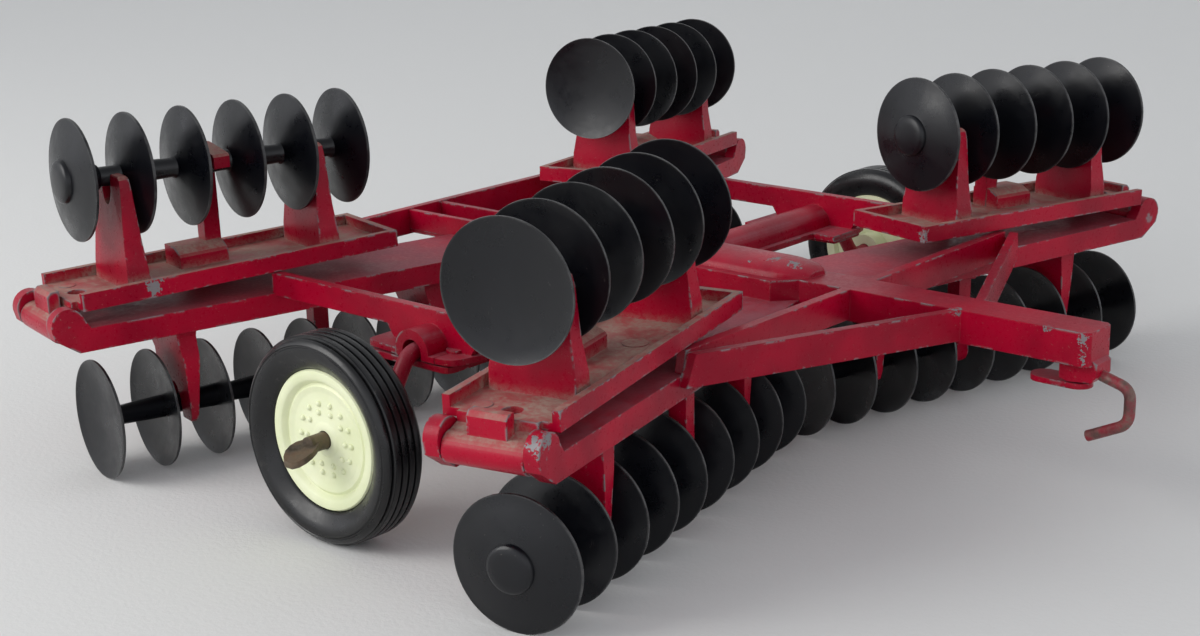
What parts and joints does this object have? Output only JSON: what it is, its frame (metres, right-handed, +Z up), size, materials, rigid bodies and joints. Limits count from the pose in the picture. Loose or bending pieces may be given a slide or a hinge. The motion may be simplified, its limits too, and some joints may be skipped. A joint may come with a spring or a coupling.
{
  "type": "toy disc harrow",
  "caption": "Folding toy disc harrow: red die-cast frame with swept gangs of dished black discs, folded wing gangs above, cream-rimmed wheels on a cranked axle and a wire drawbar hook",
  "frame": {"origin": "on the ground under the centre of the overall box", "axes": "+X toward the drawbar, +Y to the left, +Z up"},
  "size_m": [0.2334, 0.2736, 0.0903],
  "materials": {
    "red_paint": "worn crimson paint on die-cast zinc, dusty and chipped to bare metal at the edges",
    "disc_plastic": "black moulded plastic with a faint sheen and light rim edges",
    "tyre": "dark soft plastic tyre with moulded ribs",
    "rim_plastic": "pale cream moulded plastic rim, slightly dusty",
    "wire_steel": "steel wire, browned by rust"
  },
  "bodies": {
    "frame": {"tongue": "red_paint", "hitch_tab": "red_paint", "drawbar_hook": "wire_steel", "centre_box": "red_paint", "rear_spine": "red_paint", "rear_cross_wall": "red_paint", "axle_saddle": "red_paint", "front_cross_wall_right": "red_paint", "front_brace_right": "red_paint", "side_bar_right": "red_paint", "axle_retainer_right": "red_paint", "front_beam_right": "red_paint", "rear_beam_right": "red_paint", "front_cross_wall_left": "red_paint", "front_brace_left": "red_paint", "side_bar_left": "red_paint", "axle_retainer_left": "red_paint", "front_beam_left": "red_paint", "rear_beam_left": "red_paint"},
    "crank": {"crank_axle": "wire_steel"},
    "wheel_right": {"tyre_right": "tyre", "rim_right": "rim_plastic"},
    "front_wing_right_body": {"front_wing_right": "red_paint"},
    "front_main_gang_right_body": {"front_main_gang_right": "disc_plastic"},
    "front_wing_gang_right_body": {"front_wing_gang_right": "disc_plastic"},
    "rear_wing_right_body": {"rear_wing_right": "red_paint"},
    "rear_main_gang_right_body": {"rear_main_gang_right": "disc_plastic"},
    "rear_wing_gang_right_body": {"rear_wing_gang_right": "disc_plastic"},
    "wheel_left": {"tyre_left": "tyre", "rim_left": "rim_plastic"},
    "front_wing_left_body": {"front_wing_left": "red_paint"},
    "front_main_gang_left_body": {"front_main_gang_left": "disc_plastic"},
    "front_wing_gang_left_body": {"front_wing_gang_left": "disc_plastic"},
    "rear_wing_left_body": {"rear_wing_left": "red_paint"},
    "rear_main_gang_left_body": {"rear_main_gang_left": "disc_plastic"},
    "rear_wing_gang_left_body": {"rear_wing_gang_left": "disc_plastic"}
  },
  "joints": [
    {"name": "axle_swing", "type": "hinge", "parent": "frame", "child": "crank", "pos_m": [-0.02227, 0, 0.038], "axis": [0, 1, 0], "range_deg": [-60, 60]},
    {"name": "wheel_right_spin", "type": "hinge", "parent": "crank", "child": "wheel_right", "pos_m": [-0.02157, -0.1108, 0.0243], "axis": [0, 1, 0], "continuous": true},
    {"name": "front_wing_right_fold", "type": "hinge", "parent": "frame", "child": "front_wing_right_body", "pos_m": [0.04576, -0.13008, 0.041], "axis": [0.9744, 0.225, 0], "range_deg": [0, 175]},
    {"name": "front_main_gang_right_spin", "type": "hinge", "parent": "frame", "child": "front_main_gang_right_body", "pos_m": [0.03235, -0.068, 0.015], "axis": [0.225, -0.9744, 0], "continuous": true},
    {"name": "front_wing_gang_right_spin", "type": "hinge", "parent": "front_wing_right_body", "child": "front_wing_gang_right_body", "pos_m": [0.04397, -0.12232, 0.07123], "axis": [0.2249, -0.974, -0.0279], "continuous": true},
    {"name": "rear_wing_right_fold", "type": "hinge", "parent": "frame", "child": "rear_wing_right_body", "pos_m": [-0.10319, -0.12959, 0.041], "axis": [0.9744, -0.225, 0], "range_deg": [0, 175]},
    {"name": "rear_main_gang_right_spin", "type": "hinge", "parent": "frame", "child": "rear_main_gang_right_body", "pos_m": [-0.0858, -0.06895, 0.015], "axis": [-0.225, -0.9744, 0], "continuous": true},
    {"name": "rear_wing_gang_right_spin", "type": "hinge", "parent": "rear_wing_right_body", "child": "rear_wing_gang_right_body", "pos_m": [-0.10101, -0.12017, 0.07458], "axis": [-0.2249, -0.9743, 0.0105], "continuous": true},
    {"name": "wheel_left_spin", "type": "hinge", "parent": "crank", "child": "wheel_left", "pos_m": [-0.02157, 0.1108, 0.0243], "axis": [0, 1, 0], "continuous": true},
    {"name": "front_wing_left_fold", "type": "hinge", "parent": "frame", "child": "front_wing_left_body", "pos_m": [0.04576, 0.13008, 0.041], "axis": [-0.9744, 0.225, 0], "range_deg": [0, 175]},
    {"name": "front_main_gang_left_spin", "type": "hinge", "parent": "frame", "child": "front_main_gang_left_body", "pos_m": [0.03235, 0.068, 0.015], "axis": [0.225, 0.9744, 0], "continuous": true},
    {"name": "front_wing_gang_left_spin", "type": "hinge", "parent": "front_wing_left_body", "child": "front_wing_gang_left_body", "pos_m": [0.04397, 0.12232, 0.07123], "axis": [0.2249, 0.974, -0.0279], "continuous": true},
    {"name": "rear_wing_left_fold", "type": "hinge", "parent": "frame", "child": "rear_wing_left_body", "pos_m": [-0.10319, 0.12959, 0.041], "axis": [-0.9744, -0.225, 0], "range_deg": [0, 175]},
    {"name": "rear_main_gang_left_spin", "type": "hinge", "parent": "frame", "child": "rear_main_gang_left_body", "pos_m": [-0.0858, 0.06895, 0.015], "axis": [-0.225, 0.9744, 0], "continuous": true},
    {"name": "rear_wing_gang_left_spin", "type": "hinge", "parent": "rear_wing_left_body", "child": "rear_wing_gang_left_body", "pos_m": [-0.101, 0.12011, 0.07228], "axis": [-0.2248, 0.9735, -0.0419], "continuous": true}
  ]
}
